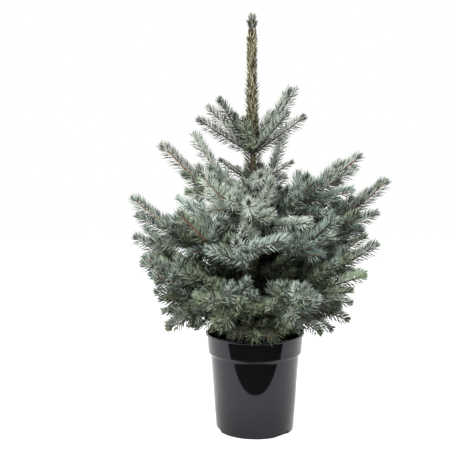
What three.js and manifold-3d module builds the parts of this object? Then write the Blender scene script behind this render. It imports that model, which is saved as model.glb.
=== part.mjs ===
import * as THREE from 'three';
import { mergeVertices } from 'three/addons/utils/BufferGeometryUtils.js';
import Module from 'manifold-3d';

/*
 * A young blue spruce in a black nursery pot.
 *
 * Millimetres, +Z up. The origin is the centre of the pot's flat underside and the front faces -Y.
 * The trunk runs whole from the soil to the top of the leader. Boughs leave it in whorls, and every
 * mass of foliage is one closed, uneven solid that follows its bough out to the bough's tip.
 * Bearings are degrees about +Z from +X, so 90 is the back and 270 the front.
 */

// ---- pot ----------------------------------------------------------------------------------------
const POT_HEIGHT = 231;
const LIP_RADIUS = 116.5;
const LIP_HEIGHT = 4;
const LIP_ROUNDING = 1.2;
const COLLAR_TOP_RADIUS = 114.2;
const COLLAR_FOOT_RADIUS = 111.2;
const COLLAR_FOOT_HEIGHT = 186;
const COLLAR_STEP_HEIGHT = 4;
const BODY_TOP_RADIUS = 105.7;
const FOOT_RADIUS = 92;
const FOOT_ROUNDING = 3;
const WALL = 2.2;
const FLOOR = 3;
const POT_SEGMENTS = 36;
const DRAIN_BEARINGS = [314, 194, 74];
const DRAIN_WIDTH = 48;
const DRAIN_DEPTH = 14;
const DRAIN_HEIGHT = 7;

// ---- soil ---------------------------------------------------------------------------------------
const SOIL_TOP = 207;
const SOIL_SHOULDER = 5;
const SOIL_FLAT_RADIUS = 60;

// ---- trunk and leader ---------------------------------------------------------------------------
// Trunk stations are shares of its height. Leader stations are [share of its height, radius].
const TREE_TOP = 973;
const TRUNK_TOP = 958;
const TRUNK_LEAN = -8.5;
const TRUNK_SWAY = 1.6;
const TRUNK_SIDES = 12;
const TRUNK_FOOT_RADIUS = 12;
const TRUNK_FLARE = 5;
const TRUNK_FLARE_HEIGHT = 22;
const TRUNK_TIP_RADIUS = 2.6;
const TRUNK_STATIONS = [0, 0.012, 0.03, 0.1, 0.2, 0.32, 0.44, 0.56, 0.68, 0.8, 0.9, 1];
const LEADER_FOOT = 664;
const LEADER_STATIONS = [
  [0, 10], [0.05, 16], [0.25, 15], [0.45, 13.5], [0.65, 12], [0.8, 10.5], [0.9, 12.5], [0.97, 11.5], [1, 5],
];

// ---- boughs and foliage -------------------------------------------------------------------------
// GAP is the air between neighbours, and SLIVER the detail that is smoothed away after a cut.
const GAP = 0.4;
const SLIVER = 0.02;
const BOUGH_SIDES = 7;
const BOUGH_RINGS = 3;
const BOUGH_BUTT_RADIUS = 5.2;
const BOUGH_END_RADIUS = 3.4;
const MASS_SIDES = 8;
const UNEVENNESS = 0.16;

// A habit is how foliage fills out along a bough, from where the mass starts to its tip.
// start is the share of the bough left bare, and sag bends the bough down between its ends.
// Each station is [share of the mass, half width, height above the bough, depth below it].
const HABITS = {
  shoot: {
    start: 0.08,
    sag: 0.02,
    stations: [[0, 5, 5, 5], [0.22, 12, 12, 12], [0.5, 20, 19, 20], [0.86, 18, 17, 17], [1, 5, 5, 5]],
  },
  twoYear: {
    start: 0.06,
    sag: 0.03,
    stations: [[0, 8, 8, 9], [0.25, 22, 20, 25], [0.5, 25, 21, 26], [0.86, 18, 17, 18], [1, 5, 5, 5]],
  },
  shoulder: {
    start: 0.06,
    sag: 0.04,
    stations: [
      [0, 9, 9, 12], [0.25, 36, 27, 42], [0.46, 46, 26, 50],
      [0.68, 34, 21, 38], [0.9, 20, 18, 20], [1, 5, 5, 5],
    ],
  },
  broad: {
    start: 0.3,
    sag: 0.06,
    stations: [
      [0, 20, 16, 24], [0.22, 64, 38, 46], [0.45, 74, 36, 50],
      [0.68, 38, 24, 32], [0.9, 21, 19, 22], [1, 5, 5, 5],
    ],
  },
  skirt: {
    start: 0.14,
    sag: -0.04,
    stations: [
      [0, 8, 8, 8], [0.28, 38, 30, 26], [0.58, 56, 38, 34],
      [0.82, 40, 27, 24], [0.95, 20, 16, 14], [1, 6, 6, 6],
    ],
  },
  drooping: {
    start: 0.14,
    sag: -0.2,
    stations: [
      [0, 8, 8, 8], [0.28, 34, 26, 12], [0.58, 50, 32, 20],
      [0.82, 38, 25, 22], [0.95, 20, 16, 14], [1, 6, 6, 6],
    ],
  },
};

// Each tier is one whorl: the height where it leaves the trunk, and for every bough its bearing,
// its length from the trunk's axis to the tip, and its rise above level, both angles in degrees.
// fullness scales the sections of a bough whose foliage is thicker or thinner than its habit's, and
// a bough with a habit of its own doesn't take its tier's.
const TIERS = [
  {
    name: 'top',
    height: 652,
    habit: HABITS.shoot,
    boughs: [
      { bearing: 200, length: 160, rise: 30 },
      { bearing: 154, length: 168, rise: 43 },
      { bearing: 226, length: 170, rise: 47 },
      { bearing: 258, length: 143, rise: 33 },
      { bearing: 312, length: 148, rise: 39 },
      { bearing: 347, length: 152, rise: 35 },
      { bearing: 26, length: 198, rise: 53 },
      { bearing: 92, length: 168, rise: 44 },
    ],
  },
  {
    name: 'upper',
    height: 582,
    habit: HABITS.twoYear,
    boughs: [
      { bearing: 213, length: 118, rise: 31 },
      { bearing: 275, length: 142, rise: 10 },
      { bearing: 336, length: 118, rise: 28 },
      { bearing: 35, length: 150, rise: 15 },
      { bearing: 130, length: 146, rise: 32 },
    ],
  },
  {
    name: 'shoulder',
    height: 476,
    habit: HABITS.shoulder,
    boughs: [
      { bearing: 190, length: 298, rise: 42, fullness: 0.8 },
      { bearing: 228, length: 222, rise: 36 },
      { bearing: 264, length: 200, rise: 22 },
      { bearing: 352, length: 302, rise: 35, fullness: 1.35 },
      { bearing: 60, length: 276, rise: 56 },
      { bearing: 105, length: 255, rise: 38 },
      { bearing: 150, length: 284, rise: 53 },
    ],
  },
  {
    name: 'middle',
    height: 350,
    habit: HABITS.broad,
    boughs: [
      { bearing: 5, length: 398, rise: 37 },
      { bearing: 56, length: 330, rise: 33, fullness: 1.15 },
      { bearing: 128, length: 330, rise: 33, fullness: 1.15 },
      { bearing: 188, length: 354, rise: 35 },
      { bearing: 220, length: 284, rise: 38 },
      { bearing: 260, length: 298, rise: 25 },
      { bearing: 312, length: 298, rise: 34 },
    ],
  },
  {
    name: 'lower',
    height: 290,
    habit: HABITS.broad,
    boughs: [
      { bearing: 20, length: 334, rise: 33 },
      { bearing: 92, length: 318, rise: 24, fullness: 1.3 },
      { bearing: 170, length: 340, rise: 29 },
      { bearing: 206, length: 314, rise: 26 },
      { bearing: 248, length: 276, rise: 14 },
      { bearing: 292, length: 276, rise: 15 },
      { bearing: 344, length: 330, rise: 29 },
    ],
  },
  {
    name: 'skirt',
    height: 266,
    habit: HABITS.skirt,
    boughs: [
      { bearing: 188, length: 250, rise: 16 },
      { bearing: 211, length: 236, rise: 0, habit: HABITS.drooping },
      { bearing: 268, length: 160, rise: -5, fullness: 1.15 },
      { bearing: 318, length: 196, rise: -2, fullness: 0.9, habit: HABITS.drooping },
      { bearing: 334, length: 296, rise: 24 },
      { bearing: 342, length: 226, rise: 2, habit: HABITS.drooping },
      { bearing: 58, length: 236, rise: 5, fullness: 1.3 },
      { bearing: 122, length: 236, rise: 5, fullness: 1.3 },
    ],
  },
];

// ---- colours ------------------------------------------------------------------------------------
const PLASTIC = { color: 0x2b2b2e, roughness: 0.28, metalness: 0 };
const COMPOST = { color: 0x2e2620, roughness: 1, metalness: 0 };
const BARK = { color: 0x6b5238, roughness: 0.9, metalness: 0 };
const LEADER_NEEDLES = { color: 0x7b7a58, roughness: 0.8, metalness: 0 };
const NEEDLES = {
  top: { color: 0x8a9c94, roughness: 0.8, metalness: 0 },
  upper: { color: 0x7f958e, roughness: 0.8, metalness: 0 },
  shoulder: { color: 0x78908a, roughness: 0.8, metalness: 0 },
  middle: { color: 0x6f8986, roughness: 0.8, metalness: 0 },
  lower: { color: 0x657d74, roughness: 0.8, metalness: 0 },
  skirt: { color: 0x5f7267, roughness: 0.8, metalness: 0 },
};

const wasm = await Module();
wasm.setup();

const UP = new THREE.Vector3(0, 0, 1);
const spruce = new THREE.Group();

function addPart(name, geometry, finish) {
  const mesh = new THREE.Mesh(geometry, new THREE.MeshStandardMaterial(finish));
  mesh.name = name;
  spruce.add(mesh);
}

// ---- solids and cuts ----------------------------------------------------------------------------
function toSolid(geometry) {
  const bare = geometry.clone();
  bare.deleteAttribute('normal');
  bare.deleteAttribute('uv');
  const merged = mergeVertices(bare, 1e-3);
  return new wasm.Manifold(new wasm.Mesh({
    numProp: 3,
    vertProperties: new Float32Array(merged.attributes.position.array),
    triVerts: new Uint32Array(merged.index.array),
  }));
}

function toGeometry(solid) {
  const mesh = solid.getMesh();
  const geometry = new THREE.BufferGeometry();
  geometry.setAttribute('position', new THREE.BufferAttribute(mesh.vertProperties, mesh.numProp));
  geometry.setIndex(new THREE.BufferAttribute(mesh.triVerts, 1));
  geometry.computeVertexNormals();
  return geometry;
}

// The largest piece that is left of a solid once its neighbours are cut out of it.
function cutBy(solid, neighbours) {
  const rest = neighbours.reduce((left, neighbour) => left.subtract(neighbour), solid);
  const [largest] = rest.decompose().sort((a, b) => b.volume() - a.volume());
  return largest.simplify(SLIVER);
}

// A turned shape about +Z from [radius, height] points that start and end on the axis.
function turned(profile, segments) {
  const points = profile.map(([radius, height]) => new THREE.Vector2(radius, height));
  return new THREE.LatheGeometry(points, segments).rotateX(Math.PI / 2);
}

// ---- pot ----------------------------------------------------------------------------------------
const collarFoot = COLLAR_FOOT_HEIGHT - COLLAR_STEP_HEIGHT;

function innerRadiusOfBody(height) {
  return THREE.MathUtils.mapLinear(height, 0, collarFoot, FOOT_RADIUS, BODY_TOP_RADIUS) - WALL;
}

function radiusOfCollar(height) {
  return THREE.MathUtils.mapLinear(
    height, COLLAR_FOOT_HEIGHT, POT_HEIGHT, COLLAR_FOOT_RADIUS, COLLAR_TOP_RADIUS,
  );
}

function potSolid() {
  const lipFoot = POT_HEIGHT - LIP_HEIGHT;
  const shell = toSolid(turned([
    [0, 0],
    [FOOT_RADIUS - FOOT_ROUNDING, 0],
    [FOOT_RADIUS, FOOT_ROUNDING],
    [BODY_TOP_RADIUS, collarFoot],
    [COLLAR_FOOT_RADIUS, COLLAR_FOOT_HEIGHT],
    [radiusOfCollar(lipFoot - LIP_ROUNDING), lipFoot - LIP_ROUNDING],
    [LIP_RADIUS, lipFoot],
    [LIP_RADIUS, POT_HEIGHT - LIP_ROUNDING],
    [LIP_RADIUS - LIP_ROUNDING, POT_HEIGHT],
    [radiusOfCollar(POT_HEIGHT) - WALL, POT_HEIGHT - LIP_ROUNDING],
    [COLLAR_FOOT_RADIUS - WALL, COLLAR_FOOT_HEIGHT],
    [innerRadiusOfBody(collarFoot), collarFoot],
    [innerRadiusOfBody(FLOOR), FLOOR],
    [0, FLOOR],
  ], POT_SEGMENTS));
  const drains = DRAIN_BEARINGS.map((bearing) => {
    const drain = new THREE.BoxGeometry(DRAIN_DEPTH, DRAIN_WIDTH, 2 * DRAIN_HEIGHT);
    drain.translate(FOOT_RADIUS, 0, 0);
    drain.rotateZ(THREE.MathUtils.degToRad(bearing));
    return toSolid(drain);
  });
  return cutBy(shell, drains);
}

// ---- soil ---------------------------------------------------------------------------------------
function soilGeometry() {
  return turned([
    [0, DRAIN_HEIGHT + GAP],
    [innerRadiusOfBody(DRAIN_HEIGHT) - GAP, DRAIN_HEIGHT + GAP],
    [innerRadiusOfBody(collarFoot) - 2 * GAP, collarFoot],
    [COLLAR_FOOT_RADIUS - WALL - 2 * GAP, COLLAR_FOOT_HEIGHT + 2 * GAP],
    [radiusOfCollar(SOIL_TOP) - WALL - 2 * GAP, SOIL_TOP - SOIL_SHOULDER],
    [SOIL_FLAT_RADIUS, SOIL_TOP],
    [0, SOIL_TOP],
  ], POT_SEGMENTS);
}

// What foliage is cut with, so that it clears the pot's rim and the soil.
function potClearance() {
  return toSolid(turned([
    [0, POT_HEIGHT / 2],
    [LIP_RADIUS + GAP, POT_HEIGHT / 2],
    [LIP_RADIUS + GAP, POT_HEIGHT + GAP],
    [COLLAR_FOOT_RADIUS - WALL - GAP, POT_HEIGHT + GAP],
    [COLLAR_FOOT_RADIUS - WALL - GAP, SOIL_TOP + GAP],
    [0, SOIL_TOP + GAP],
  ], POT_SEGMENTS));
}

// ---- trunk and leader ---------------------------------------------------------------------------
// The trunk leans and sways a little. This is how far its axis stands from the pot's at a height.
function trunkOffset(height) {
  const share = (height - SOIL_TOP) / (TREE_TOP - SOIL_TOP);
  const sway = TRUNK_SWAY * Math.sin(2 * Math.PI * share);
  return new THREE.Vector3(TRUNK_LEAN * share + sway, -sway, 0);
}

function lean(geometry) {
  const position = geometry.attributes.position;
  for (let i = 0; i < position.count; i += 1) {
    const offset = trunkOffset(position.getZ(i));
    position.setX(i, position.getX(i) + offset.x);
    position.setY(i, position.getY(i) + offset.y);
  }
  return geometry;
}

const trunkFoot = SOIL_TOP + GAP;

function trunkRadius(height) {
  const share = (height - trunkFoot) / (TRUNK_TOP - trunkFoot);
  const flare = TRUNK_FLARE * Math.max(0, 1 - (height - trunkFoot) / TRUNK_FLARE_HEIGHT) ** 2;
  return THREE.MathUtils.lerp(TRUNK_FOOT_RADIUS, TRUNK_TIP_RADIUS, share) + flare;
}

function trunkSolid(grow = 0) {
  const stem = TRUNK_STATIONS.map((share) => {
    const height = THREE.MathUtils.lerp(trunkFoot, TRUNK_TOP, share);
    return [trunkRadius(height) + grow, height];
  });
  const [foot, ...rest] = stem;
  const profile = [[0, trunkFoot - grow], [foot[0], trunkFoot - grow], ...rest, [0, TRUNK_TOP + grow]];
  return toSolid(lean(turned(profile, TRUNK_SIDES)));
}

// The needles of the leader, pressed close up its stem and tufted round the bud.
function leaderSolid() {
  const side = LEADER_STATIONS.map(([share, radius]) => [
    radius, THREE.MathUtils.lerp(LEADER_FOOT, TREE_TOP, share),
  ]);
  return toSolid(lean(turned([[0, LEADER_FOOT], ...side, [0, TREE_TOP]], TRUNK_SIDES)));
}

// What foliage below the leader is cut with, so that it clears the leader's needles.
function leaderClearance() {
  const radius = Math.max(...LEADER_STATIONS.map(([, width]) => width)) + GAP;
  return toSolid(lean(turned([
    [0, LEADER_FOOT - GAP],
    [radius, LEADER_FOOT - GAP],
    [radius, TREE_TOP],
    [0, TREE_TOP],
  ], TRUNK_SIDES)));
}

// ---- boughs and foliage -------------------------------------------------------------------------
// A bough's axis, from the trunk's own axis to the bough's tip. It hangs a little between the two.
function boughCurve(tier, habit, bough) {
  const bearing = THREE.MathUtils.degToRad(bough.bearing);
  const rise = THREE.MathUtils.degToRad(bough.rise);
  const butt = trunkOffset(tier.height).setZ(tier.height);
  const reach = new THREE.Vector3(
    Math.cos(bearing) * Math.cos(rise),
    Math.sin(bearing) * Math.cos(rise),
    Math.sin(rise),
  ).multiplyScalar(bough.length);
  const tip = butt.clone().add(reach);
  const middle = butt.clone().lerp(tip, 0.5);
  middle.z -= habit.sag * bough.length;
  return new THREE.QuadraticBezierCurve3(butt, middle, tip);
}

// A closed sweep along a curve. Each station is [place on the curve, half width, height above it,
// depth below it], and unevenAt scales the section at one ring and side. grow swells the sweep all
// round and past both ends.
function sweep({ curve, stations, sides, unevenAt, grow }) {
  const rings = stations.length - 1;
  const geometry = new THREE.CylinderGeometry(1, 1, 1, sides, rings);
  const position = geometry.attributes.position;
  const point = new THREE.Vector3();
  for (let i = 0; i < position.count; i += 1) {
    point.fromBufferAttribute(position, i);
    const ring = Math.round((point.y + 0.5) * rings);
    const side = Math.round((Math.atan2(point.z, point.x) / (2 * Math.PI) + 1) * sides) % sides;
    const [place, wide, high, deep] = stations[ring];
    const along = curve.getTangent(place);
    const aside = along.clone().cross(UP).normalize();
    const above = aside.clone().cross(along);
    const uneven = unevenAt(ring, side);
    const beyond = Math.sign(point.y) * (Math.abs(point.y) === 0.5 ? grow : 0);
    const vertex = curve.getPoint(place).addScaledVector(along, beyond);
    vertex.addScaledVector(aside, point.x * (wide * uneven + grow));
    vertex.addScaledVector(above, point.z * ((point.z > 0 ? high : deep) * uneven + grow));
    position.setXYZ(i, vertex.x, vertex.y, vertex.z);
  }
  return toSolid(geometry);
}

function boughSolid(curve, habit, grow = 0) {
  const stations = Array.from({ length: BOUGH_RINGS + 1 }, (_, ring) => {
    const radius = THREE.MathUtils.lerp(BOUGH_BUTT_RADIUS, BOUGH_END_RADIUS, ring / BOUGH_RINGS);
    return [habit.start * ring / BOUGH_RINGS, radius, radius, radius];
  });
  return sweep({ curve, stations, sides: BOUGH_SIDES, unevenAt: () => 1, grow });
}

// The foliage along a bough. Side shoots make it bulge unevenly, by its own seed.
function massSolid({ curve, habit, fullness }, seed, grow = 0) {
  const start = habit.start + 2 * GAP / curve.getLength();
  const stations = habit.stations.map(([share, ...section]) => [
    THREE.MathUtils.lerp(start, 1, share),
    ...section.map((size) => size * fullness),
  ]);
  const unevenAt = (ring, side) => {
    const cell = (seed * stations.length + ring) * MASS_SIDES + side + 1;
    return 1 + UNEVENNESS * THREE.MathUtils.lerp(-1, 1, THREE.MathUtils.seededRandom(cell));
  };
  return sweep({ curve, stations, sides: MASS_SIDES, unevenAt, grow });
}

// ---- assembly -----------------------------------------------------------------------------------
addPart('pot', toGeometry(potSolid()), PLASTIC);
addPart('soil', soilGeometry(), COMPOST);
addPart('trunk', toGeometry(trunkSolid()), BARK);

const trunkClearance = trunkSolid(GAP);
addPart('leader', toGeometry(cutBy(leaderSolid(), [trunkClearance])), LEADER_NEEDLES);

const limbs = TIERS.flatMap((tier) => tier.boughs.map((bough, index) => {
  const { habit = tier.habit, fullness = 1 } = bough;
  const label = `${tier.name}_${index + 1}`;
  return { tier, habit, fullness, curve: boughCurve(tier, habit, bough), label };
}));

const limbClearances = [trunkClearance];
for (const { habit, curve, label } of limbs.filter((limb) => limb.habit === HABITS.broad)) {
  addPart(`bough_${label}`, toGeometry(cutBy(boughSolid(curve, habit), limbClearances)), BARK);
  limbClearances.push(boughSolid(curve, habit, GAP));
}

const clearances = [...limbClearances, potClearance(), leaderClearance()];
limbs.forEach((limb, seed) => {
  const mass = cutBy(massSolid(limb, seed), clearances);
  addPart(`foliage_${limb.label}`, toGeometry(mass), NEEDLES[limb.tier.name]);
  clearances.push(massSolid(limb, seed, GAP));
});

export default spruce;
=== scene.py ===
"""A young blue spruce in a black nursery pot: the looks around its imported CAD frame.

Metres, +Z up, the pot's flat underside on the floor and the front facing -Y. The frame's foliage
solids say where each bough goes and how far its foliage reaches. This script grows the boughs,
side shoots, needles and buds inside them by a seeded rule, and puts bark on trunk and boughs,
a turned pot round the soil, and crumbs of compost on top of it.
"""

import math
from collections import namedtuple

import bpy
import numpy as np
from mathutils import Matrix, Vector, noise
from mathutils.bvhtree import BVHTree


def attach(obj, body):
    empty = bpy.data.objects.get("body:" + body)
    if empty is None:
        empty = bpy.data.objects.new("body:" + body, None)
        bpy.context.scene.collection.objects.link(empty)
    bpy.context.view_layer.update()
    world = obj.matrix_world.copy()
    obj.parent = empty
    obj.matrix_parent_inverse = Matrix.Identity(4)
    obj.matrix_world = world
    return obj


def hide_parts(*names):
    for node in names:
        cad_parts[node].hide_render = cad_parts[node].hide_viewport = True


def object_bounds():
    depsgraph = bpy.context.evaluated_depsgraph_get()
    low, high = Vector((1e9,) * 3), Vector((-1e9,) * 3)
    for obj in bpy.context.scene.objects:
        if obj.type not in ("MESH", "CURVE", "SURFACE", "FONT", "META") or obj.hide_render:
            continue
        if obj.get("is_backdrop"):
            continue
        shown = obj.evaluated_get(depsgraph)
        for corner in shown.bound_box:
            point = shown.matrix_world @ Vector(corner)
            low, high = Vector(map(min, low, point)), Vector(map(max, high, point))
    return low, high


SEED = 41
CRUMB_SEED = 7
CORE_SEED = 98
LEADER_SEED = 99
UP = np.array([0.0, 0.0, 1.0])
FRONT = np.array([0.0, -1.0, 0.0])
GOLDEN_ANGLE = math.radians(137.508)
TRIANGLES_PER_PIECE = 190_000

# ---- camera and studio ----
CAMERA_PLACE = (-0.066, -1.886, 0.657)
CAMERA_PITCH = math.radians(5.34)
CAMERA_LENS = 64.07
SURROUND_LIGHT = 0.28
FLOOR_GLOW = 0.72
DARK_ROOM = (6, 2.2, 3)
DARK_ROOM_MIDDLE = (0, -1.416, 0.002)
# Softboxes: place, the height on the axis that they face, diameter and power.
SOFTBOXES = {
    "key_softbox": ((-1.3, -1.9, 1.9), 0.45, 1.0, 92),
    "fill_softbox": ((1.5, -1.7, 1.5), 0.45, 1.0, 20),
    "top_softbox": ((-0.2, -0.45, 2.5), 0.4, 1.2, 62),
}

# ---- pot ----
POT_HEIGHT = 0.231
LIP_RADIUS = 0.1165
LIP_HEIGHT = 0.004
LIP_ROUNDING = 0.0012
COLLAR_TOP_RADIUS = 0.1142
COLLAR_FOOT_RADIUS = 0.1112
COLLAR_FOOT = 0.186
COLLAR_STEP = 0.004
BODY_TOP_RADIUS = 0.1057
FOOT_RADIUS = 0.092
FOOT_ROUNDING = 0.003
WALL = 0.0022
FLOOR_THICKNESS = 0.003
POT_SEGMENTS = 144
SHARP_ANGLE = math.radians(30)
LONG_SPAN = 0.008
HOLDING_INSET = 0.0012
DRAIN_BEARINGS = (314, 194, 74)
DRAIN_SIZE = (0.014, 0.048, 0.014)
DRAIN_ROUNDING = 0.005

# ---- soil ----
SOIL_TOP = 0.207
SOIL_EDGE = COLLAR_FOOT_RADIUS - WALL
SOIL_SHOULDER = 0.005
SOIL_FLAT_RADIUS = 0.06
SOIL_RINGS = 34
SOIL_SEGMENTS = 120
# Lumps on the soil: how closely they follow each other, and how deep they are.
SOIL_LUMPS = ((60, 0.0022), (190, 0.0013))
CRUMBS = 900

# ---- trunk and stems ----
TREE_TOP = 0.973
TRUNK_TOP = 0.958
TRUNK_LEAN = -0.0085
TRUNK_SWAY = 0.0016
TRUNK_FOOT_RADIUS = 0.012
TRUNK_TIP_RADIUS = 0.0026
TRUNK_FLARE = 0.005
TRUNK_FLARE_FADE = 0.01
TRUNK_SIDES = 28
TRUNK_RING_STEP = 0.003
LEADER_BARK_FROM = 0.7
# How often ridges and scars come round the trunk and up it, and how deep they are.
RIDGES = (3.2, 45, 0.07)
SCARS = (7, 260, 0.05)
BOUGH_BUTT_RADIUS = 0.0052
TWIG_BUTT_RADIUS = 0.0026
BOUGH_TIP_RADIUS = 0.0013
SHOOT_BUTT_RADIUS = 0.0017
SHOOT_TIP_RADIUS = 0.001
SHOOT_BUDS = (0.0038, 0.0052)
BOUGH_BUD = 0.0058
LEADER_BUD = 0.006
BOUGH_STEP = 0.006
SHOOT_STEP = 0.007
YOUNG_WOOD_RADIUS = 0.0015
OLD_WOOD_RADIUS = 0.0025
STEM_UNEVENNESS = 0.12

# ---- needles ----
# A needle's usual width, the share of its length where it is widest, and how far it bends. Under a
# spray the needles open wider, by some degrees, and toward its tip they close over a short span.
NEEDLE_WIDTH = 0.0028
NEEDLE_BELLY_AT = 0.42
NEEDLE_BEND = 0.11
UNDERSIDE_SPREAD = 6
CLOSING_SPAN = 0.028
SHOOT_TUFT = 17
BOUGH_TUFT = 34
TUFT_REACH = 0.014

# Painted shade: each colour comes in a pale, lit tone and a deep, shaded one. Some needles of a
# spray take the deep tone, at random and more often on its underside, where shade falls.
PAINTED_SHADE_SHARE = 0.42
TONES = {"": 1.44, "_deep": 0.26}

# Base colours of the needles, linear. Each is made in a pale, lit tone and a deep one of painted
# shade.
COLOURS = {
    "silver": (0.32, 0.355, 0.305),
    "ash": (0.228, 0.24, 0.21),
    "frost": (0.262, 0.288, 0.252),
    "powder_blue": (0.234, 0.279, 0.243),
    "teal": (0.148, 0.188, 0.162),
    "blue_grey": (0.19, 0.224, 0.19),
    "grey_green": (0.172, 0.208, 0.145),
    "dusk": (0.145, 0.165, 0.136),
    "sage": (0.135, 0.165, 0.102),
    "olive": (0.122, 0.137, 0.07),
    "slate": (0.135, 0.142, 0.128),
    # shade and gloom are near-black greens for shoots inside and under the crown: painted shade.
    "shade": (0.055, 0.068, 0.042),
    "gloom": (0.022, 0.028, 0.019),
    "buff": (0.29, 0.245, 0.165),
    "straw": (0.18, 0.17, 0.105),
    "moss": (0.08, 0.082, 0.05),
}

# How needles dress a stem: needles to the metre, their length, the angle they open to the stem and
# the angle they close to at its tip, how far they crowd to its upper side, how much they lift,
# their width, and how readily they take the deep tone of painted shade.
Dress = namedtuple(
    "Dress", "density length opening closing crowd lift width deep",
    defaults=(0, 0, NEEDLE_WIDTH, 1.0),
)
DRESSES = {
    "top": Dress(1480, 0.0235, 60, 32, 0.55, 0.03, width=0.0026),
    "shoot": Dress(1560, 0.026, 58, 32, 0.68, 0.05),
    "side": Dress(1560, 0.026, 56, 36, 0.64, 0.06),
    # Needles in full light: fewer of them take the deep tone of painted shade.
    "bright": Dress(1700, 0.026, 57, 36, 0.66, 0.06, deep=0.3),
    "inner": Dress(1000, 0.026, 58, 40, 0.5, 0.05),
    "old": Dress(1200, 0.0235, 60, 58, 0.6, 0.06),
    "weak": Dress(1100, 0.0165, 54, 32, 0.45, 0.03, width=0.0025),
    "leader": Dress(1400, 0.019, 34, 28, width=0.0032),
    "leader_top": Dress(1250, 0.017, 50, 40, width=0.0032),
    "leader_low": Dress(1150, 0.0225, 52, 46, width=0.0034),
    "leader_foot": Dress(1350, 0.0225, 50, 46, width=0.0032),
    "trunk": Dress(1500, 0.0265, 56, 52, width=0.0032),
}

# Needles up the trunk's bare top: from which height to which, how dressed, their colours, and the
# radius they start from. Then ruffs of needles: height, count, needle length, colour, least and
# most opening, and the radius they start from.
LEADER_SPANS = (
    (0.54, 0.664, "trunk", "moss", 0.0075), (0.655, 0.735, "leader_foot", "moss olive", 0.0065),
    (0.69, 0.93, "leader", "buff straw", 0.005), (0.72, 0.815, "leader_low", "moss", 0.0048),
    (0.8, 0.925, "leader_top", "moss", 0.004),
)
LEADER_RUFFS = (
    (0.957, 96, 0.0185, "ash", (2, 20), 0.0045), (0.955, 40, 0.017, "slate", (18, 34), 0.0045),
    (0.947, 54, 0.0165, "moss", (34, 54), 0.0045), (0.941, 36, 0.016, "slate", (24, 46), 0.0045),
    (0.909, 40, 0.016, "moss", (34, 54), 0.0045),
)

# Each tier's boughs: the height where they leave the trunk, the share left bare, the sag, the shares
# of their length where a year ends in a whorl of side shoots, the spacing of the side shoots
# between whorls and the longest of them. Then what is dealt out: woods, the colours of shoots, of
# older needles and of tips. Last, how a bough's end is dressed, the share of it where side shoots
# are the crown's inner ones, in dark colours of painted shade, and how the others are dressed.
Tier = namedtuple(
    "Tier", "height bare sag whorls spacing longest woods colours old tips dress inner side",
    defaults=((), 0, 0, "dark_wood", "", "", "", "shoot", 0.36, "side"),
)
TIERS = {
    "top": Tier(
        0.652, 0.04, 0.02, colours="ash frost ash grey_green frost", old="sage",
        tips="slate slate ash", dress="top",
    ),
    "upper": Tier(
        0.582, 0.06, 0.03, colours="ash frost blue_grey", old="sage", tips="slate blue_grey",
        dress="top",
    ),
    "shoulder": Tier(
        0.476, 0.06, 0.04, (0.24, 0.46), 0.026, 0.14, woods="red_wood tan_wood dark_wood",
        colours="silver powder_blue frost powder_blue grey_green",
        old="grey_green blue_grey", tips="slate ash", inner=0.1,
    ),
    "middle": Tier(
        0.35, 0.16, 0.06, (0.36, 0.58), 0.026, 0.14, woods="tan_wood red_wood dark_wood",
        colours="powder_blue blue_grey teal blue_grey grey_green",
        old="sage olive teal", tips="slate blue_grey ash",
    ),
    "lower": Tier(
        0.29, 0.16, 0.06, (0.42, 0.68), 0.023, 0.145, woods="dark_wood red_wood",
        colours="blue_grey grey_green dusk powder_blue grey_green",
        old="sage grey_green", tips="blue_grey slate ash",
    ),
    # The skirt's shade colours are painted shade under the crown.
    "skirt": Tier(
        0.266, 0.12, -0.04, (0.42, 0.7), 0.023, 0.115,
        colours="sage shade shade dusk sage", old="shade", tips="slate sage",
    ),
}
SLOTS = {
    "top": "needles_silver", "upper": "needles_silver", "shoulder": "needles_blue",
    "middle": "needles_blue", "lower": "needles_green", "skirt": "needles_shade",
    "core": "needles_shade", "leader": "needles_leader",
}
DROOPING = "skirt_2 skirt_4 skirt_6".split()
DROOP_SAG = -0.2
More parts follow.
